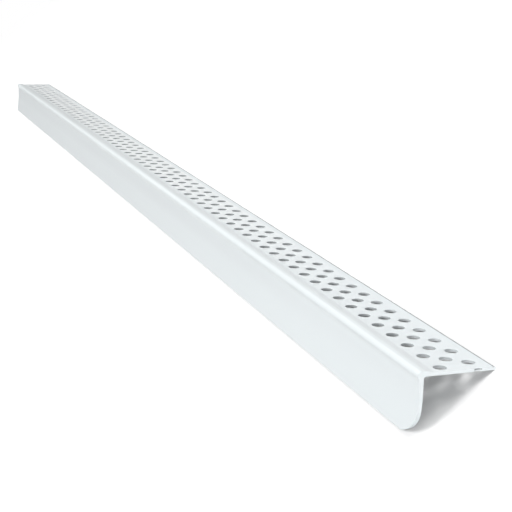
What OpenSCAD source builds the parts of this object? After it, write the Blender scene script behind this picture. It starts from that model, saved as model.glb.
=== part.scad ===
// Shadow gap profile: one length of extruded white PVC with a punched fixing flange.
// The section is drawn upright, with the web's front face at x = 0 and the flange's top face at z = 0.
// The length then lies as it rests unheld: on the web's lower edge and on the flange's back edge.
// The length runs along Y, with the cut-open hole and the web's round corner at the -Y end.

/* [Length] */
// Cut length of the profile
profile_length = 720; // [400:1:3000]

/* [Flange] */
// Width of the flange, from the web's front face to its back edge
flange_width = 25; // [23.5:0.5:40]
// Thickness of the flange
flange_wall = 0.9; // [0.7:0.05:1.2]

/* [Web] */
// Thickness of the web
web_wall = 1.2; // [0.9:0.05:1.5]
// Depth from the flange's top face to the web's lower edge
web_depth = 21; // [18:0.5:40]
// Depth at which the web starts to bend forward into its toe
toe_start = 6.6; // [5:0.1:9]
// Radius of that slight bend on the web's front face
toe_radius = 60; // [40:1:80]
// Angle by which the toe leans forward
toe_angle = 5; // [1:0.5:6]
// Half the length of the oval that rounds the web's lower corner at the near end
corner_run = 15.5; // [5:0.5:20]
// Half the height of that oval
corner_rise = 9.7; // [5:0.1:12]
// How far the oval reaches below the web's lower edge, so that it meets the edge at a slight angle
corner_dip = 0.4; // [0.2:0.05:0.8]

/* [Bead] */
// Radius of the rounded bead along the flange's front edge
bead_radius = 1.4; // [1.2:0.05:1.8]
// Height of the bead above the flange's top face
bead_rise = 0.7; // [0.3:0.05:1]
// How far the bead stands out in front of the web
bead_proud = 0.75; // [0.3:0.05:0.9]
// Radius of the hollow between the bead and the web's front face
bead_fillet = 3.5; // [1:0.1:4]
// Distance from the web's front face to the foot of the ridge behind the bead
ridge_foot = 5.8; // [4.5:0.1:6]
// Radius of the hollow at that foot
hollow_radius = 7.5; // [4:0.5:9]
// Radius of the fillet between the flange's underside and the web's back
fillet_radius = 0.8; // [0.3:0.1:1.5]

/* [Fixing holes] */
// Diameter of the punched holes
hole_diameter = 4.2; // [3:0.1:5]
// Number of rows of holes
hole_rows = 3; // [1:1:3]
// Distance from the web's front face to the first row
first_row = 8.4; // [8:0.1:8.6]
// Distance between two rows
row_spacing = 5.35; // [5:0.05:5.5]
// Distance between two holes of one row
hole_pitch = 11; // [9:0.5:30]
// How much further along each row starts than the row before it
row_shift = 6.6; // [0:0.1:11]
// Distance from the near end to the first hole of the first row
first_hole = 4.1; // [4:0.1:15]
// Least material left between a whole hole and a cut end
end_margin = 1; // [0.5:0.1:5]
// How far beyond the near end the centre of the cut-open hole lies
open_hole_beyond = 1.6; // [1:0.1:2]

/* [Hidden] */
$fn = 96;

// Centres of the round forms of the section
bead_x = bead_radius - bead_proud;
bead_z = bead_rise - bead_radius;
edge_x = flange_width - flange_wall / 2;
edge_z = -flange_wall / 2;

// The hollow under the bead: how far below the bead's centre it meets the web, and the bead's turn down to it
under_drop = sqrt((bead_radius + bead_fillet) ^ 2 - (bead_x + bead_fillet) ^ 2);
under_turn = atan2(under_drop, bead_x + bead_fillet);
under_z = bead_z - under_drop;

// The ridge behind the bead: a round crown from the bead's top, then a hollow down to the flange's top face
ridge_run = ridge_foot - bead_x;
ridge_turn = 2 * atan(bead_rise / ridge_run);
crown_radius = ridge_run / sin(ridge_turn) - hollow_radius;
// Number of flats that the bead, the hollow under it and each arc of its ridge are drawn with
bead_steps = 26;
under_steps = 8;
ridge_steps = 12;

// The toe: radius of the bend's middle line, length of the straight below the bend, and the round tip's centre
toe_middle = toe_radius + web_wall / 2;
toe_length = (web_depth - web_wall / 2 - toe_start - toe_middle * sin(toe_angle)) / cos(toe_angle);
tip_x = toe_middle * cos(toe_angle) - toe_length * sin(toe_angle) - toe_radius;
tip_z = web_wall / 2 - web_depth;

// Lean at rest: the line under the web's round tip and the flange's round back edge is level
rest_dx = edge_x - tip_x;
rest_dz = edge_z - tip_z;
rest_span = sqrt(rest_dx ^ 2 + rest_dz ^ 2);
rest_lean = atan2(rest_dz, rest_dx) + asin((web_wall - flange_wall) / 2 / rest_span);

// Place of a section point across and up, once the section leans
function leant_x(x, z) = x * cos(rest_lean) + z * sin(rest_lean);
function leant_z(x, z) = z * cos(rest_lean) - x * sin(rest_lean);
rest_left = leant_x(tip_x, tip_z) - web_wall / 2;
rest_right = leant_x(edge_x, edge_z) + flange_wall / 2;
rest_bottom = leant_z(tip_x, tip_z) - web_wall / 2;

// Number of flats that the toe's slight bend and its round tip are drawn with
toe_steps = 10;
tip_steps = 16;
// Point of the bend, some steps along it and some way behind the front face
function toe_point(step, behind) =
    let (turn = toe_angle * step / toe_steps, reach = toe_radius + behind)
    [reach * cos(turn) - toe_radius, -toe_start - reach * sin(turn)];
// Point of the tip, some steps round it from the front face to the back
function tip_point(step) =
    let (turn = 180 - toe_angle + 180 * step / tip_steps)
    [tip_x, tip_z] + web_wall / 2 * [cos(turn), sin(turn)];

// Point of the bead, some steps from its top round the front to the hollow under it
function bead_point(step) =
    let (turn = 90 + (90 + under_turn) * step / bead_steps)
    [bead_x, bead_z] + bead_radius * [cos(turn), sin(turn)];
// Point of the hollow under the bead, some steps down to the web's front face
function under_point(step) =
    let (turn = under_turn * (1 - step / under_steps))
    [-bead_fillet, under_z] + bead_fillet * [cos(turn), sin(turn)];
// Point of the crown, some steps down from the bead's top
function crown_point(step) =
    let (turn = ridge_turn * step / ridge_steps)
    [bead_x + crown_radius * sin(turn), bead_rise - crown_radius * (1 - cos(turn))];
// Point of the hollow, some steps up from the foot
function hollow_point(step) =
    let (turn = ridge_turn * step / ridge_steps)
    [ridge_foot - hollow_radius * sin(turn), hollow_radius * (1 - cos(turn))];

near_end = -profile_length / 2;
far_end = profile_length / 2;
// Nearest a whole hole's centre may come to a cut end
hole_keep = hole_diameter / 2 + end_margin;

// Start of a row, brought back to the first hole that is whole
function row_start(row) =
    let (shifted = first_hole + row * row_shift)
    shifted - hole_pitch * floor((shifted - hole_keep) / hole_pitch);

module flange_section() {
    translate([0, -flange_wall]) square([edge_x, flange_wall]);
    translate([edge_x, edge_z]) circle(d = flange_wall);
}

module web_section() {
    polygon(concat(
        [[0, edge_z]],
        [for (step = [0 : toe_steps]) toe_point(step, 0)],
        [for (step = [0 : tip_steps]) tip_point(step)],
        [for (step = [toe_steps : -1 : 0]) toe_point(step, web_wall)],
        [[web_wall, edge_z]]
    ));
}

module bead_section() {
    polygon(concat(
        [for (step = [0 : bead_steps]) bead_point(step)],
        [for (step = [1 : under_steps]) under_point(step)],
        [[web_wall / 2, under_z], [web_wall / 2, edge_z], [ridge_foot, edge_z]],
        [for (step = [0 : ridge_steps]) hollow_point(step)],
        [for (step = [ridge_steps - 1 : -1 : 1]) crown_point(step)]
    ));
}

module fillet_section() {
    translate([web_wall, -flange_wall - fillet_radius]) difference() {
        square(fillet_radius);
        translate([fillet_radius, 0]) circle(fillet_radius);
    }
}

module profile_section() {
    flange_section();
    web_section();
    bead_section();
    fillet_section();
}

// What the round lower corner takes off the web at the near end
module round_corner() {
    steps = 24;
    reach = 3 * web_wall;
    translate([-reach, near_end, -web_depth - corner_dip]) rotate([90, 0, 90]) linear_extrude(2 * reach)
        polygon(concat(
            [[-reach, corner_rise], [-reach, -reach], [corner_run, -reach]],
            [for (turn = [0 : 90 / steps : 90]) [corner_run * (1 - sin(turn)), corner_rise * (1 - cos(turn))]]
        ));
}

module punched_hole(row, along) {
    translate([first_row + row * row_spacing, near_end + along, -1.5 * flange_wall])
        cylinder(h = 2 * flange_wall, d = hole_diameter);
}

module fixing_holes() {
    for (row = [0 : hole_rows - 1])
        for (along = [row_start(row) : hole_pitch : profile_length - hole_keep])
            punched_hole(row, along);
    punched_hole(hole_rows - 1, -open_hole_beyond);
}

// Leans an upright shape about Y, then centres it over the floor that it rests on
module at_rest() {
    translate([-(rest_left + rest_right) / 2, 0, -rest_bottom])
        rotate([0, rest_lean, 0])
            children();
}

module z_profile() {
    color("#f1f5f7") at_rest() difference() {
        translate([0, far_end, 0]) rotate([90, 0, 0]) linear_extrude(profile_length) profile_section();
        fixing_holes();
        round_corner();
    }
}

z_profile();
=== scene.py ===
"""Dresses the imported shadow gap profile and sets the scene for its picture.

The profile is one length of extruded white PVC with a punched flange. Its section is written upright,
in millimetres, with the web's front face at x = 0 and the flange's top face at z = 0. The length then
leans as it rests unheld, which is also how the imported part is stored.
"""

from __future__ import annotations

import logging
import math
from dataclasses import dataclass, field
from enum import Enum

import bmesh
import bpy
from mathutils import Matrix, Vector

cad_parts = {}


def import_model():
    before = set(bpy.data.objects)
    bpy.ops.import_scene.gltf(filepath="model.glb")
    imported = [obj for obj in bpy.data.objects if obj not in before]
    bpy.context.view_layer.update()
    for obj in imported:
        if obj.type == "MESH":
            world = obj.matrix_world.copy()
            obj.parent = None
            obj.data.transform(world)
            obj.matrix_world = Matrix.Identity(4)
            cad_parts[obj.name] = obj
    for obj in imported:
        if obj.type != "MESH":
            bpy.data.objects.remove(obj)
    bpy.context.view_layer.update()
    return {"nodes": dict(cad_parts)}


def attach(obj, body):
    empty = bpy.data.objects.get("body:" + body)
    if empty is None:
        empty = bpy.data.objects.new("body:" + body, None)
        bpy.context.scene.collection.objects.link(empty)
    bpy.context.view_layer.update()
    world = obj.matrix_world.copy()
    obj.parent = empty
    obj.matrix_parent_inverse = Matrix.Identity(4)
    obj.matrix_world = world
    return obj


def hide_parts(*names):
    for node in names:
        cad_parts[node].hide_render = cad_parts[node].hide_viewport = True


LOG = logging.getLogger("z_profile")
MM = 0.001
WHITE = "#ffffff"
CAD_NODE = "z_profile"
PICTURE_PIXELS = 512


def linear_colour(hex_value: str) -> tuple[float, float, float, float]:
    """Turns an sRGB hex value into a linear colour, by the curve of the sRGB standard.

    Args:
        hex_value: Six hex digits after a hash, such as "#f2f6f7".

    Returns:
        Linear red, green and blue, and an alpha of one.
    """
    shares = [int(hex_value[i : i + 2], 16) / 255 for i in (1, 3, 5)]
    linear = [s / 12.92 if s <= 0.04045 else ((s + 0.055) / 1.055) ** 2.4 for s in shares]
    return (*linear, 1.0)


def add_node(
    tree: bpy.types.NodeTree, kind: str, settings: dict | None = None, inputs: dict | None = None
) -> bpy.types.Node:
    """Adds a node with its settings, and fills or links its inputs.

    Args:
        tree: The node tree that the node goes into.
        kind: The node's type name.
        settings: Attributes of the node, by name.
        inputs: Values, output sockets or lists of output sockets, by the input's name or number.

    Returns:
        The new node.
    """
    node = tree.nodes.new(kind)
    for name, value in (settings or {}).items():
        setattr(node, name, value)
    for key, given in (inputs or {}).items():
        for value in given if isinstance(given, list) else [given]:
            if isinstance(value, bpy.types.NodeSocket):
                tree.links.new(value, node.inputs[key])
            else:
                node.inputs[key].default_value = value
    return node


def empty_tree(owner: bpy.types.Material | bpy.types.World) -> bpy.types.NodeTree:
    """Turns on nodes and empties their tree.

    Args:
        owner: The material or the world that the tree belongs to.

    Returns:
        The empty tree.
    """
    owner.use_nodes = True
    owner.node_tree.nodes.clear()
    return owner.node_tree


def mesh_from(name: str, shape: bmesh.types.BMesh) -> bpy.types.Mesh:
    """Turns a shape that is done into a mesh, and frees the shape.

    Args:
        name: Name of the mesh.
        shape: The shape, which can't be used afterwards.

    Returns:
        The mesh.
    """
    mesh = bpy.data.meshes.new(name)
    shape.to_mesh(mesh)
    shape.free()
    return mesh


def linked_object(name: str, data: bpy.types.ID) -> bpy.types.Object:
    """Makes an object and links it to the scene.

    Args:
        name: Name of the object.
        data: Its mesh, lamp or camera.

    Returns:
        The object.
    """
    made = bpy.data.objects.new(name, data)
    bpy.context.scene.collection.objects.link(made)
    return made


def arc(centre: Vector, radius: float, start: float, end: float, steps: int) -> list[Vector]:
    """Points along an arc of the section.

    Args:
        centre: The arc's centre, across and up, in millimetres.
        radius: The arc's radius in millimetres.
        start: Angle of the first point in degrees, from the +x direction.
        end: Angle of the last point in degrees.
        steps: Number of chords.

    Returns:
        The points from start to end, both included.
    """
    angles = [math.radians(start + (end - start) * i / steps) for i in range(steps + 1)]
    return [Vector((centre.x + radius * math.cos(a), centre.y + radius * math.sin(a))) for a in angles]


@dataclass(frozen=True)
class Section:
    """Sizes of the extruded section in millimetres and degrees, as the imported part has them.

    The steps are the numbers of chords that its round forms are drawn with.
    """

    flange_width: float = 25.0
    flange_wall: float = 0.9
    web_wall: float = 1.2
    web_depth: float = 21.0
    toe_start: float = 6.6
    toe_radius: float = 60.0
    toe_angle: float = 5.0
    bead_radius: float = 1.4
    bead_rise: float = 0.7
    bead_proud: float = 0.75
    bead_fillet: float = 3.5
    ridge_foot: float = 5.8
    hollow_radius: float = 7.5
    fillet_radius: float = 0.8
    flat_margin: float = 0.12
    ridge_steps: int = 8
    edge_steps: int = 12
    fillet_steps: int = 6
    toe_steps: int = 8
    tip_steps: int = 14
    under_steps: int = 7
    bead_steps: int = 26

    @property
    def bead(self) -> Vector:
        """Centre of the bead."""
        return Vector((self.bead_radius - self.bead_proud, self.bead_rise - self.bead_radius))

    @property
    def back_edge(self) -> Vector:
        """Centre of the flange's round back edge."""
        return Vector((self.flange_width - self.flange_wall / 2, -self.flange_wall / 2))

    @property
    def toe_bend(self) -> Vector:
        """Centre of the slight bend that leans the web's toe forward."""
        return Vector((-self.toe_radius, -self.toe_start))

    @property
    def tip(self) -> Vector:
        """Centre of the web's round lower edge."""
        turn = math.radians(self.toe_angle)
        middle = self.toe_radius + self.web_wall / 2
        drop = self.web_depth - self.web_wall / 2 - self.toe_start - middle * math.sin(turn)
        across = middle * math.cos(turn) - drop * math.tan(turn) - self.toe_radius
        return Vector((across, self.web_wall / 2 - self.web_depth))

    @property
    def ridge_turn(self) -> float:
        """Steepest lean in degrees of the ridge's back, between its round crown and its hollow foot."""
        return math.degrees(2 * math.atan(self.bead_rise / (self.ridge_foot - self.bead.x)))

    @property
    def crown_radius(self) -> float:
        """Radius of the crown that is tangent to the bead's top and to the hollow foot."""
        reach = (self.ridge_foot - self.bead.x) / math.sin(math.radians(self.ridge_turn))
        return reach - self.hollow_radius

    def outline(self) -> list[Vector]:
        """Draws the section's outline.

        Each flat has a point just inside its ends, the flat margin away, so that its shading stays flat.

        Returns:
            The points of the closed outline, clockwise from the bead's top.
        """
        margin = self.flat_margin
        crown = Vector((self.bead.x, self.bead_rise - self.crown_radius))
        hollow = Vector((self.ridge_foot, self.hollow_radius))
        under_reach = self.bead.x + self.bead_fillet
        under_drop = math.sqrt((self.bead_radius + self.bead_fillet) ** 2 - under_reach**2)
        under_bead = Vector((-self.bead_fillet, self.bead.y - under_drop))
        under_turn = math.degrees(math.atan2(under_drop, under_reach))
        fillet = Vector((self.web_wall + self.fillet_radius, -self.flange_wall - self.fillet_radius))
        tip_turn = -180 - self.toe_angle
        points: list[Vector] = []
        points += arc(crown, self.crown_radius, 90, 90 - self.ridge_turn, self.ridge_steps)[:-1]
        points += arc(hollow, self.hollow_radius, -90 - self.ridge_turn, -90, self.ridge_steps)
        points.append(Vector((self.ridge_foot + margin, 0)))
        points.append(Vector((self.back_edge.x - margin, 0)))
        points += arc(self.back_edge, self.flange_wall / 2, 90, -90, self.edge_steps)
        points.append(Vector((self.back_edge.x - margin, -self.flange_wall)))
        points.append(Vector((fillet.x + margin, -self.flange_wall)))
        points += arc(fillet, self.fillet_radius, 90, 180, self.fillet_steps)
        points.append(Vector((self.web_wall, fillet.y - margin)))
        points.append(Vector((self.web_wall, margin - self.toe_start)))
        points += arc(self.toe_bend, self.toe_radius + self.web_wall, 0, -self.toe_angle, self.toe_steps)
        points += arc(self.tip, self.web_wall / 2, -self.toe_angle, tip_turn, self.tip_steps)
        points += arc(self.toe_bend, self.toe_radius, -self.toe_angle, 0, self.toe_steps)
        points.append(Vector((0, margin - self.toe_start)))
        points.append(Vector((0, under_bead.y - margin)))
        points += arc(under_bead, self.bead_fillet, 0, under_turn, self.under_steps)
        points += arc(self.bead, self.bead_radius, 180 + under_turn, 90, self.bead_steps)[1:-1]
        return points


@dataclass(frozen=True)
class Lie:
    """How the profile lies at rest: on the web's round lower edge and on the flange's round back edge."""

    section: Section
    length: float

    @property
    def lean(self) -> float:
        """The lean in radians that brings the web's lower edge and the back edge down to one level."""
        across = self.section.back_edge - self.section.tip
        drop = (self.section.web_wall - self.section.flange_wall) / 2
        return math.atan2(across.y, across.x) + math.asin(drop / across.length)

    def turn(self, point: Vector) -> Vector:
        """A section point across and up, turned to the lean."""
        c, s = math.cos(self.lean), math.sin(self.lean)
        return Vector((point.x * c + point.y * s, point.y * c - point.x * s))

    @property
    def matrix(self) -> Matrix:
        """Takes upright millimetres, with y = 0 at the near end, to the part's own frame in metres."""
        left = self.turn(self.section.tip).x - self.section.web_wall / 2
        right = self.turn(self.section.back_edge).x + self.section.flange_wall / 2
        bottom = self.turn(self.section.tip).y - self.section.web_wall / 2
        to_floor = Matrix.Translation((-(left + right) / 2, 0, -bottom))
        to_middle = Matrix.Translation((0, -self.length / 2, 0))
        return Matrix.Scale(MM, 4) @ to_floor @ Matrix.Rotation(self.lean, 4, "Y") @ to_middle


@dataclass(frozen=True)
class Punching:
    """The punched holes of the flange, in millimetres.

    The punch goes down to walls_deep times the flange's wall below its top face.
    """

    diameter: float = 4.2
    rows: int = 3
    first_row: float = 8.4
    row_spacing: float = 5.35
    pitch: float = 11.0
    row_shift: float = 6.6
    first_hole: float = 4.1
    end_margin: float = 1.0
    open_hole_beyond: float = 1.6
    entry_round: float = 0.16
    exit_round: float = 0.06
    round_steps: int = 4
    sides: int = 32
    walls_deep: float = 2.0

    def row_start(self, row: int) -> float:
        """Distance from the near end to the first whole hole of a row.

        Args:
            row: Number of the row, from zero at the bead.

        Returns:
            The distance to the hole's centre in millimetres.
        """
        shifted = self.first_hole + row * self.row_shift
        keep = self.diameter / 2 + self.end_margin
        return shifted - self.pitch * math.floor((shifted - keep) / self.pitch)

    def row_count(self, row: int, length: float) -> int:
        """Number of whole holes that a row has on a length."""
        room = length - self.diameter / 2 - self.end_margin - self.row_start(row)
        return math.floor(room / self.pitch) + 1

    def runs(self, length: float) -> list[tuple[int, tuple[float, float, float]]]:
        """Number of holes and place of the first one, for each run of holes.

        Args:
            length: Length of the profile in millimetres.

        Returns:
            The rows of whole holes, then the one hole of the last row that the near end cuts open.
        """
        across = [self.first_row + row * self.row_spacing for row in range(self.rows)]
        rows = [(self.row_count(row, length), (x, self.row_start(row), 0.0)) for row, x in enumerate(across)]
        return rows + [(1, (across[-1], -self.open_hole_beyond, 0.0))]

    def tool_rings(self, wall: float) -> list[tuple[float, float]]:
        """Radius and height of each ring of the punch, with round entry and exit edges.

        Args:
            wall: Thickness of the flange in millimetres.

        Returns:
            Rings from above the flange to below it.
        """
        radius = self.diameter / 2
        rings = [(radius + self.entry_round, wall)]
        for i in range(self.round_steps + 1):
            turn = math.radians(90 * i / self.round_steps)
            out, down = 1 - math.sin(turn), 1 - math.cos(turn)
            rings.append((radius + self.entry_round * out, -self.entry_round * down))
        rings.append((radius, self.exit_round - wall))
        rings.append((radius + self.exit_round, -wall))
        rings.append((radius + self.exit_round, -self.walls_deep * wall))
        return rings


@dataclass(frozen=True)
class RoundCorner:
    """A quarter of an oval that rounds the web's lower corner at the near end, in millimetres.

    The tool that cuts it reaches out by walls_out times the web's wall: to both sides of the web's
    front face, past the near end, and below the oval's foot.
    """

    run: float = 15.5
    rise: float = 9.7
    dip: float = 0.4
    steps: int = 48
    walls_out: float = 3.0

    def curve(self) -> list[Vector]:
        """Points of the oval, along the length and up from its foot."""
        turns = [math.pi / 2 * i / self.steps for i in range(self.steps + 1)]
        return [Vector((self.run * (1 - math.sin(t)), self.rise * (1 - math.cos(t)))) for t in turns]


class CutInput(Enum):
    """Inputs of the extruding and punching tree: the name and the socket type of each."""

    LENGTH = ("Length", "NodeSocketFloat")
    PITCH = ("Pitch", "NodeSocketFloat")
    PUNCH = ("Punch", "NodeSocketObject")
    TRIMMER = ("Trimmer", "NodeSocketObject")
    SURFACE = ("Surface", "NodeSocketMaterial")

    @property
    def label(self) -> str:
        """Name of the input."""
        return self.value[0]

    @property
    def socket_type(self) -> str:
        """Type of the input's socket."""
        return self.value[1]


@dataclass(frozen=True)
class Zone:
    """A stretch of the profile with a painted tone that stands in for shade or light, in upright millimetres.

    The tone is full as far as half_size from the centre, and from there it fades out over the fade.
    """

    name: str
    colour: str
    centre: tuple[float, float, float]
    half_size: tuple[float, float, float]
    fade: tuple[float, float, float]

    def share(self, tree: bpy.types.NodeTree, upright: bpy.types.NodeSocket) -> bpy.types.NodeSocket:
        """Adds the nodes that say how much of the tone a point has.

        Args:
            tree: The material's node tree.
            upright: The point in upright millimetres.

        Returns:
            One where the tone is full, and zero where there is none of it.
        """
        offset = add_node(
            tree, "ShaderNodeVectorMath", {"operation": "SUBTRACT"}, {0: upright, 1: self.centre}
        )
        distance = add_node(
            tree, "ShaderNodeVectorMath", {"operation": "ABSOLUTE"}, {0: offset.outputs["Vector"]}
        )
        inside = add_node(
            tree,
            "ShaderNodeMapRange",
            {"data_type": "FLOAT_VECTOR"},
            {
                "Vector": distance.outputs["Vector"],
                "From Min": self.half_size,
                "From Max": Vector(self.half_size) + Vector(self.fade),
                "To Min": (1.0, 1.0, 1.0),
                "To Max": (0.0, 0.0, 0.0),
            },
        )
        sides = add_node(tree, "ShaderNodeSeparateXYZ", None, {"Vector": inside.outputs["Vector"]}).outputs
        flat = add_node(tree, "ShaderNodeMath", {"operation": "MULTIPLY"}, {0: sides["X"], 1: sides["Y"]})
        full = add_node(
            tree, "ShaderNodeMath", {"operation": "MULTIPLY"}, {0: flat.outputs["Value"], 1: sides["Z"]}
        )
        return full.outputs["Value"]


@dataclass(frozen=True)
class ExtrudedPvc:
    """White rigid PVC, extruded: opaque, smooth and satin, with faint lines along the length.

    The holes' walls and the flange's back edge carry painted shade. The skin carries painted shade in the
    hollow at the ridge's foot and on the web, and painted light on the bead and the flange's top towards the
    far end. The skin itself has stretches of a slightly different white. All are matched.
    """

    name: str = "extruded_white_pvc"
    colour: str = "#eef4f6"
    shade_colour: str = "#e9f0f2"
    # The two whites change over into each other about every wave length, in millimetres.
    wave_length: float = 60.0
    wave_detail: float = 1.0
    roughness: float = 0.42
    ior: float = 1.53
    # The die's lines are really a few tenths of a millimetre apart, which is too fine to show, so they
    # are drawn coarser. Their length is this many times their spacing.
    line_spacing: float = 0.9
    line_stretch: float = 400.0
    line_depth: float = 0.012
    line_strength: float = 0.35
    line_detail: float = 3.0
    line_detail_share: float = 0.6
    # Over this range of the lines' height, roughness goes from this far below its value to this far above.
    line_range: tuple[float, float] = (0.3, 0.7)
    roughness_spread: tuple[float, float] = (0.04, 0.05)
    # Painted shade and painted light, in the order in which they are laid over each other: shade in the
    # holes' walls, shade along the back edge, then shade and light on the skin.
    zones: tuple[Zone, ...] = (
        # Painted shade in the holes' walls, darkest in the row by the bead and lightest in the row by the
        # back edge.
        Zone("first_row_walls_painted_shade", "#cacfd1", (8.4, 360.0, -0.48), (2.4, 359.9, 0.34), (0.1, 0.05, 0.08)),
        Zone("second_row_walls_painted_shade", "#d8dddf", (13.75, 360.0, -0.48), (2.4, 359.9, 0.34), (0.1, 0.05, 0.08)),
        Zone("third_row_walls_painted_shade", "#e5eaec", (19.1, 360.0, -0.48), (2.4, 359.9, 0.34), (0.1, 0.05, 0.08)),
        # Painted shade in the holes' walls of all three rows, deepest along the middle of the length.
        Zone("middle_walls_painted_shade", "#bcc1c3", (13.75, 330.0, -0.48), (7.8, 120.0, 0.34), (0.1, 160.0, 0.08)),
        # Painted shade in the wall of the hole that the near end cuts open.
        Zone("open_hole_painted_shade", "#8b9193", (19.1, 0.2, -0.3), (1.25, 0.35, 0.2), (0.1, 0.05, 0.05)),
        # Painted shade along the flange's back edge.
        Zone("back_edge_painted_shade", "#8a9093", (25.0, 360.0, 0.0), (0.6, 359.9, 0.5), (0.25, 0.05, 0.2)),
        # Painted shade in the hollow at the ridge's foot.
        Zone("ridge_foot", "#e3e9eb", (3.3, 360.0, 0.25), (0.9, 359.5, 0.6), (1.3, 0.3, 0.2)),
        # Painted shade on the web's front, from about the middle of the length to the far end.
        Zone("web_front_painted_shade", "#e7edef", (-2.0, 720.0, -12.0), (2.3, 380.0, 8.0), (0.4, 240.0, 2.5)),
        # Painted shade on the web just below the bead, over the far half of the length.
        Zone("web_top_painted_shade", "#e5ebed", (-2.0, 720.0, -6.0), (2.3, 360.0, 2.0), (0.4, 300.0, 3.5)),
        # Painted light on the bead, from about the middle of the length to the far end.
        Zone("bead_painted_light", "#f7feff", (-0.3, 720.0, -0.9), (0.3, 440.0, 0.9), (0.7, 200.0, 0.9)),
        # Painted light on the flange's top, towards the far end.
        Zone("flange_top_painted_light", "#fafeff", (14.4, 720.0, 0.05), (7.2, 420.0, 0.06), (1.4, 240.0, 0.05)),
    )

    def build(self, lie: Lie) -> bpy.types.Material:
        """Makes the material.

        Args:
            lie: Takes upright millimetres to the part's own frame, so that the tones follow the section.

        Returns:
            The material.
        """
        material = bpy.data.materials.new(self.name)
        tree = empty_tree(material)
        place = add_node(tree, "ShaderNodeTexCoord").outputs["Object"]
        lines = self.die_lines(tree, place)
        least, most = self.line_range
        smoother, rougher = self.roughness_spread
        rough = add_node(
            tree,
            "ShaderNodeMapRange",
            None,
            {
                "Value": lines,
                "From Min": least,
                "From Max": most,
                "To Min": self.roughness - smoother,
                "To Max": self.roughness + rougher,
            },
        )
        bump = add_node(
            tree,
            "ShaderNodeBump",
            None,
            {"Height": lines, "Strength": self.line_strength, "Distance": self.line_depth * MM},
        )
        shader = add_node(
            tree,
            "ShaderNodeBsdfPrincipled",
            None,
            {
                "Base Color": self.tones(tree, place, lie),
                "Roughness": rough.outputs["Result"],
                "IOR": self.ior,
                "Normal": bump.outputs["Normal"],
            },
        )
        add_node(tree, "ShaderNodeOutputMaterial", None, {"Surface": shader.outputs["BSDF"]})
        return material

    def die_lines(self, tree: bpy.types.NodeTree, place: bpy.types.NodeSocket) -> bpy.types.NodeSocket:
        """Adds the nodes for the lines that the die drew along the length.

        Args:
            tree: The material's node tree.
            place: The point in the part's own frame.

        Returns:
            The lines' height, as a noise that is stretched along the length.
        """
        across, along = 1 / self.line_spacing, 1 / (self.line_spacing * self.line_stretch)
        stretched = add_node(
            tree,
            "ShaderNodeMapping",
            {"vector_type": "POINT"},
            {"Vector": place, "Scale": Vector((across, along, across)) / MM},
        )
        noise = add_node(
            tree,
            "ShaderNodeTexNoise",
            {"noise_dimensions": "3D"},
            {
                "Vector": stretched.outputs["Vector"],
                "Scale": 1.0,
                "Detail": self.line_detail,
                "Roughness": self.line_detail_share,
            },
        )
        return noise.outputs["Fac"]

    def tones(
        self, tree: bpy.types.NodeTree, place: bpy.types.NodeSocket, lie: Lie
    ) -> bpy.types.NodeSocket:
        """Adds the nodes for the colour: two close whites in slow waves, and the zones of painted shade and
        painted light laid over them.

        Args:
            tree: The material's node tree.
            place: The point in the part's own frame.
            lie: Takes upright millimetres to the part's own frame.

        Returns:
            The colour.
        """
        to_upright = lie.matrix.inverted()
        upright = add_node(
            tree,
            "ShaderNodeMapping",
            {"vector_type": "POINT"},
            {
                "Vector": place,
                "Location": to_upright.translation,
                "Rotation": to_upright.to_euler(),
                "Scale": to_upright.to_scale(),
            },
        ).outputs["Vector"]
        waves = add_node(
            tree,
            "ShaderNodeTexNoise",
            {"noise_dimensions": "3D"},
            {"Vector": place, "Scale": 1 / (self.wave_length * MM), "Detail": self.wave_detail},
        )
        whites = {"A": linear_colour(self.colour), "B": linear_colour(self.shade_colour)}
        colour = add_node(
            tree, "ShaderNodeMix", {"data_type": "RGBA"}, {"Factor": waves.outputs["Fac"], **whites}
        ).outputs["Result"]
        for zone in self.zones:
            colour = add_node(
                tree,
                "ShaderNodeMix",
                {"data_type": "RGBA", "label": zone.name},
                {"Factor": zone.share(tree, upright), "A": colour, "B": linear_colour(zone.colour)},
            ).outputs["Result"]
        return colour


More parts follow.
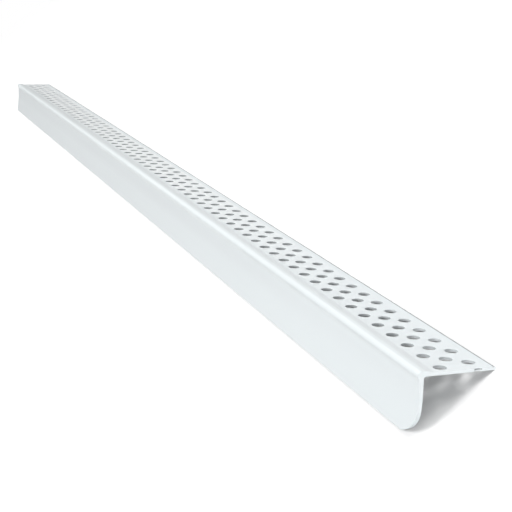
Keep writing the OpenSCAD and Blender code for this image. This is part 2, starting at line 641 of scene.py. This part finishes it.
@dataclass
class Profile:
    """The whole profile: one extruded and punched length, in upright millimetres and degrees."""

    section: Section = field(default_factory=Section)
    punching: Punching = field(default_factory=Punching)
    corner: RoundCorner = field(default_factory=RoundCorner)
    finish: ExtrudedPvc = field(default_factory=ExtrudedPvc)
    length: float = 720.0
    doubles_distance: float = 1e-5
    seam_distance: float = 1e-4
    sharp_angle: float = 32.0
    name: str = "dressed_profile"

    @property
    def lie(self) -> Lie:
        """How this length lies."""
        return Lie(self.section, self.length)

    def blank(self) -> bpy.types.Object:
        """Makes the section's face at the near end.

        Returns:
            The object whose face the tree extrudes.
        """
        shape = bmesh.new()
        shape.faces.new([shape.verts.new((p.x, 0, p.y)) for p in self.section.outline()])
        bmesh.ops.remove_doubles(shape, verts=shape.verts[:], dist=self.doubles_distance)
        return linked_object("section_blank", mesh_from("section_face", shape))

    def punch(self) -> bpy.types.Object:
        """Makes the punch that cuts one hole.

        Returns:
            The punch, with its axis on z and the flange's top face at z = 0.
        """
        sides = self.punching.sides
        turns = [2 * math.pi * i / sides for i in range(sides)]
        rings = self.punching.tool_rings(self.section.flange_wall)
        return self.tool("punch", [[(r * math.cos(t), r * math.sin(t), z) for t in turns] for r, z in rings])

    def trimmer(self) -> bpy.types.Object:
        """Makes the tool that takes the web's lower corner off at the near end.

        Returns:
            The tool, in its place.
        """
        reach = self.corner.walls_out * self.section.web_wall
        foot = self.section.web_depth + self.corner.dip
        outline = [(-reach, self.corner.rise), (-reach, -reach), (self.corner.run, -reach)]
        outline += [(p.x, p.y) for p in self.corner.curve()]
        return self.tool("trimmer", [[(x, y, z - foot) for y, z in outline] for x in (-reach, reach)])

    def tool(self, name: str, loops: list[list[tuple[float, float, float]]]) -> bpy.types.Object:
        """Makes a closed cutting tool.

        Args:
            name: Name of the tool.
            loops: Loops of points, all with the same number, from one end of the tool to the other.

        Returns:
            The tool, in upright millimetres.
        """
        shape = bmesh.new()
        rings = [[shape.verts.new(point) for point in loop] for loop in loops]
        for ring, after in zip(rings, rings[1:]):
            for i in range(len(ring)):
                j = (i + 1) % len(ring)
                shape.faces.new((ring[i], after[i], after[j], ring[j]))
        shape.faces.new(rings[0])
        shape.faces.new(rings[-1][::-1])
        bmesh.ops.recalc_face_normals(shape, faces=shape.faces[:])
        return linked_object(name, mesh_from(name, shape))

    def extruded(
        self, tree: bpy.types.NodeTree, near_face: bpy.types.NodeSocket, length: bpy.types.NodeSocket
    ) -> bpy.types.NodeSocket:
        """Adds the nodes that extrude the section's face and close its near end.

        Args:
            tree: The extruding and punching tree.
            near_face: The section's face.
            length: The profile's length.

        Returns:
            The closed blank.
        """
        run = add_node(tree, "ShaderNodeCombineXYZ", None, {"Y": length}).outputs["Vector"]
        body = add_node(
            tree,
            "GeometryNodeExtrudeMesh",
            {"mode": "FACES"},
            {"Mesh": near_face, "Offset": run, "Offset Scale": 1.0, "Individual": False},
        )
        cap = add_node(tree, "GeometryNodeFlipFaces", None, {"Mesh": near_face})
        shells = [body.outputs["Mesh"], cap.outputs["Mesh"]]
        closed = add_node(tree, "GeometryNodeJoinGeometry", None, {"Geometry": shells})
        solid = add_node(
            tree,
            "GeometryNodeMergeByDistance",
            None,
            {"Geometry": closed.outputs["Geometry"], "Distance": self.seam_distance},
        )
        return solid.outputs["Geometry"]

    def punches(
        self, tree: bpy.types.NodeTree, punch: bpy.types.NodeSocket, pitch: bpy.types.NodeSocket
    ) -> bpy.types.NodeSocket:
        """Adds the nodes that set the punch at the place of every hole.

        Args:
            tree: The extruding and punching tree.
            punch: The punch object.
            pitch: Distance between two holes of one row.

        Returns:
            The punches, realized.
        """
        tool = add_node(tree, "GeometryNodeObjectInfo", None, {"Object": punch})
        step = add_node(tree, "ShaderNodeCombineXYZ", None, {"Y": pitch}).outputs["Vector"]
        lines = [
            add_node(
                tree,
                "GeometryNodeMeshLine",
                {"mode": "OFFSET"},
                {"Count": count, "Start Location": start, "Offset": step},
            ).outputs["Mesh"]
            for count, start in self.punching.runs(self.length)
        ]
        places = add_node(tree, "GeometryNodeJoinGeometry", None, {"Geometry": lines})
        punches = add_node(
            tree,
            "GeometryNodeInstanceOnPoints",
            None,
            {"Points": places.outputs["Geometry"], "Instance": tool.outputs["Geometry"]},
        ).outputs["Instances"]
        return add_node(tree, "GeometryNodeRealizeInstances", None, {"Geometry": punches}).outputs["Geometry"]

    def punching_tree(self) -> bpy.types.NodeTree:
        """Makes the tree that extrudes the section's face, punches the holes and rounds the corner.

        Returns:
            A tree with the length, the pitch, the two tools and the surface as named inputs.
        """
        tree = bpy.data.node_groups.new("extrude_and_punch", "GeometryNodeTree")
        sockets = tree.interface
        sockets.new_socket("Geometry", in_out="INPUT", socket_type="NodeSocketGeometry")
        for item in CutInput:
            sockets.new_socket(item.label, in_out="INPUT", socket_type=item.socket_type)
        sockets.new_socket("Geometry", in_out="OUTPUT", socket_type="NodeSocketGeometry")
        given = add_node(tree, "NodeGroupInput").outputs
        solid = self.extruded(tree, given["Geometry"], given[CutInput.LENGTH.label])
        punches = self.punches(tree, given[CutInput.PUNCH.label], given[CutInput.PITCH.label])
        trimmer = add_node(
            tree, "GeometryNodeObjectInfo", None, {"Object": given[CutInput.TRIMMER.label]}
        ).outputs["Geometry"]
        tools = add_node(tree, "GeometryNodeJoinGeometry", None, {"Geometry": [punches, trimmer]})
        punched = add_node(
            tree,
            "GeometryNodeMeshBoolean",
            {"operation": "DIFFERENCE", "solver": "MANIFOLD"},
            {"Mesh 1": solid, "Mesh 2": tools.outputs["Geometry"]},
        )
        whole = add_node(tree, "GeometryNodeRealizeInstances", None, {"Geometry": punched.outputs["Mesh"]})
        dressed = add_node(
            tree,
            "GeometryNodeSetMaterial",
            None,
            {"Geometry": whole.outputs["Geometry"], "Material": given[CutInput.SURFACE.label]},
        )
        add_node(tree, "NodeGroupOutput", None, {"Geometry": dressed.outputs["Geometry"]})
        return tree

    def build(self) -> bpy.types.Object:
        """Builds the profile's mesh in the part's own frame.

        Returns:
            The finished object, at the origin, with its place in its mesh.
        """
        blank, punch, trimmer = self.blank(), self.punch(), self.trimmer()
        tree = self.punching_tree()
        modifier = blank.modifiers.new("extrude_and_punch", "NODES")
        modifier.node_group = tree
        values = {
            CutInput.LENGTH: self.length,
            CutInput.PITCH: self.punching.pitch,
            CutInput.PUNCH: punch,
            CutInput.TRIMMER: trimmer,
            CutInput.SURFACE: self.finish.build(self.lie),
        }
        keys = {item.name: item.identifier for item in tree.interface.items_tree if item.in_out == "INPUT"}
        for item, value in values.items():
            modifier[keys[item.label]] = value
        evaluated = blank.evaluated_get(bpy.context.evaluated_depsgraph_get())
        mesh = bpy.data.meshes.new_from_object(evaluated)
        blank.modifiers.clear()
        for scaffold in (blank, punch, trimmer):
            bpy.data.objects.remove(scaffold)
        mesh.transform(self.lie.matrix)
        mesh.shade_smooth()
        mesh.set_sharp_from_angle(angle=math.radians(self.sharp_angle))
        return linked_object(self.name, mesh)


@dataclass(frozen=True)
class PhotoCamera:
    """The photograph's viewpoint, beside the upright section in millimetres and degrees.

    The clip distances are in metres.
    """

    eye: tuple[float, float, float] = (-166.74, -318.94, 124.31)
    heading: float = 19.769
    pitch: float = 14.168
    roll: float = 1.54
    focal_pixels: float = 1286.4
    sensor: float = 36.0
    clip_start: float = 0.01
    clip_end: float = 50.0
    name: str = "photo_camera"

    def build(self, lie: Lie) -> None:
        """Makes the camera, and sets it as the scene's.

        Args:
            lie: Takes upright millimetres to the part's own frame.
        """
        data = bpy.data.cameras.new(self.name)
        data.sensor_width = self.sensor
        data.lens = self.focal_pixels / PICTURE_PIXELS * self.sensor
        data.clip_start, data.clip_end = self.clip_start, self.clip_end
        camera = linked_object(self.name, data)
        upright = (
            Matrix.Translation(self.eye)
            @ Matrix.Rotation(math.radians(-self.heading), 4, "Z")
            @ Matrix.Rotation(math.radians(90 - self.pitch), 4, "X")
            @ Matrix.Rotation(math.radians(self.roll), 4, "Z")
        )
        place = lie.matrix @ upright
        turned = place.to_quaternion().to_matrix().to_4x4()
        camera.matrix_world = Matrix.Translation(place.translation) @ turned
        bpy.context.scene.camera = camera


@dataclass(frozen=True)
class SoftLamp:
    """A soft square lamp, placed beside the part in metres and aimed at it, with its power in watts."""

    name: str
    power: float
    size: float
    place: tuple[float, float, float]
    aim: tuple[float, float, float]

    def build(self) -> None:
        """Makes the lamp."""
        data = bpy.data.lights.new(self.name, "AREA")
        data.shape = "SQUARE"
        data.size = self.size
        data.energy = self.power
        lamp = linked_object(self.name, data)
        lamp.location = self.place
        lamp.rotation_mode = "QUATERNION"
        lamp.rotation_quaternion = (Vector(self.aim) - Vector(self.place)).to_track_quat("-Z", "Y")


@dataclass(frozen=True)
class Studio:
    """A white tent: an even surround, five soft lamps and a pale floor, in metres.

    Along the part's length, from minus to plus lit_reach, the floor that the camera sees goes from
    floor_seen to floor_seen_far. Away from the part, it fades to white from fade_start to fade_end.
    """

    surround_strength: float = 0.25
    white_strength: float = 1.0
    lamps: tuple[SoftLamp, ...] = (
        SoftLamp("left_softbox", 17.2, 0.8, (-0.684, -0.2, 1.879), (0.0, -0.1, 0.0)),
        SoftLamp("right_softbox", 4.0, 0.5, (0.579, -0.55, 0.689), (0.0, -0.4, 0.0)),
        SoftLamp("near_softbox", 1.7, 0.5, (-0.643, -1.0, 0.766), (0.0, -0.4, 0.0)),
        SoftLamp("front_softbox", 27.0, 0.4, (-0.662, -2.411, 0.441), (0.0, -0.36, 0.0)),
        SoftLamp("far_softbox", 0.15, 0.2, (0.28, 0.62, 0.34), (0.0, 0.36, 0.0)),
    )
    floor_colour: str = "#a0a0a0"
    floor_size: float = 30.0
    floor_seen: float = 1.0
    floor_seen_far: float = 1.5
    lit_reach: float = 0.36
    fade_start: float = 0.4
    fade_end: float = 0.7

    def build(self) -> None:
        """Makes the surround, the lamps and the floor."""
        self.surround()
        for lamp in self.lamps:
            lamp.build()
        self.floor()

    def seen(self, tree: bpy.types.NodeTree) -> bpy.types.NodeSocket:
        """Adds the nodes that tell the rays that show something from the rays that light the part.

        Args:
            tree: The node tree of a material or a world.

        Returns:
            One for a camera, glossy or transmission ray, and zero for the others.
        """
        path = add_node(tree, "ShaderNodeLightPath").outputs
        mirrored = add_node(
            tree,
            "ShaderNodeMath",
            {"operation": "MAXIMUM"},
            {0: path["Is Glossy Ray"], 1: path["Is Transmission Ray"]},
        )
        either = add_node(
            tree,
            "ShaderNodeMath",
            {"operation": "MAXIMUM"},
            {0: path["Is Camera Ray"], 1: mirrored.outputs["Value"]},
        )
        return either.outputs["Value"]

    def surround(self) -> None:
        """Makes an even world, seen by the camera and in gloss at full white."""
        world = bpy.data.worlds.new("white_tent")
        bpy.context.scene.world = world
        tree = empty_tree(world)
        strength = add_node(
            tree,
            "ShaderNodeMix",
            {"data_type": "FLOAT"},
            {"Factor": self.seen(tree), "A": self.surround_strength, "B": self.white_strength},
        )
        glow = add_node(
            tree,
            "ShaderNodeBackground",
            None,
            {"Color": linear_colour(WHITE), "Strength": strength.outputs["Result"]},
        )
        add_node(tree, "ShaderNodeOutputWorld", None, {"Surface": glow.outputs["Background"]})

    def floor(self) -> None:
        """Makes a level floor that looks white to the camera and keeps the part's shadow."""
        shape = bmesh.new()
        bmesh.ops.create_grid(shape, x_segments=1, y_segments=1, size=self.floor_size / 2)
        floor = linked_object("floor", mesh_from("floor", shape))
        floor.data.materials.append(self.floor_material())

    def floor_material(self) -> bpy.types.Material:
        """Makes matt board, pale grey for the light on the part, and raised to white for the camera.

        Returns:
            The material.
        """
        material = bpy.data.materials.new("pale_floor")
        tree = empty_tree(material)
        seen = self.seen(tree)
        place = add_node(tree, "ShaderNodeTexCoord").outputs["Object"]
        along = add_node(tree, "ShaderNodeSeparateXYZ", None, {"Vector": place}).outputs["Y"]
        lift = add_node(
            tree,
            "ShaderNodeMapRange",
            None,
            {
                "Value": along,
                "From Min": -self.lit_reach,
                "From Max": self.lit_reach,
                "To Min": self.floor_seen,
                "To Max": self.floor_seen_far,
            },
        )
        colour = add_node(
            tree,
            "ShaderNodeMix",
            {"data_type": "RGBA"},
            {"Factor": seen, "A": linear_colour(self.floor_colour), "B": lift.outputs["Result"]},
        )
        matt = add_node(tree, "ShaderNodeBsdfDiffuse", None, {"Color": colour.outputs["Result"]})
        distance = add_node(tree, "ShaderNodeVectorMath", {"operation": "LENGTH"}, {0: place})
        away = add_node(
            tree,
            "ShaderNodeMapRange",
            {"interpolation_type": "SMOOTHSTEP"},
            {"Value": distance.outputs["Value"], "From Min": self.fade_start, "From Max": self.fade_end},
        )
        share = add_node(
            tree, "ShaderNodeMath", {"operation": "MULTIPLY"}, {0: seen, 1: away.outputs["Result"]}
        )
        white = add_node(
            tree, "ShaderNodeEmission", None, {"Color": linear_colour(WHITE), "Strength": self.white_strength}
        )
        surface = add_node(
            tree,
            "ShaderNodeMixShader",
            None,
            {0: share.outputs["Value"], 1: matt.outputs["BSDF"], 2: white.outputs["Emission"]},
        )
        add_node(tree, "ShaderNodeOutputMaterial", None, {"Surface": surface.outputs["Shader"]})
        return material


def main() -> None:
    """Builds the camera, the profile and the studio, and ties the profile to the frame."""
    logging.basicConfig(level=logging.INFO, format="%(name)s: %(message)s")
    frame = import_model()
    LOG.info("frame loaded with nodes %s", ", ".join(frame["nodes"]))
    profile = Profile()
    PhotoCamera().build(profile.lie)
    piece = profile.build()
    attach(piece, "root")
    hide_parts(CAD_NODE)
    LOG.info("%s: %d faces", piece.name, len(piece.data.polygons))
    Studio().build()
    bpy.context.scene.view_settings.view_transform = "Standard"


if __name__ == "__main__":
    main()
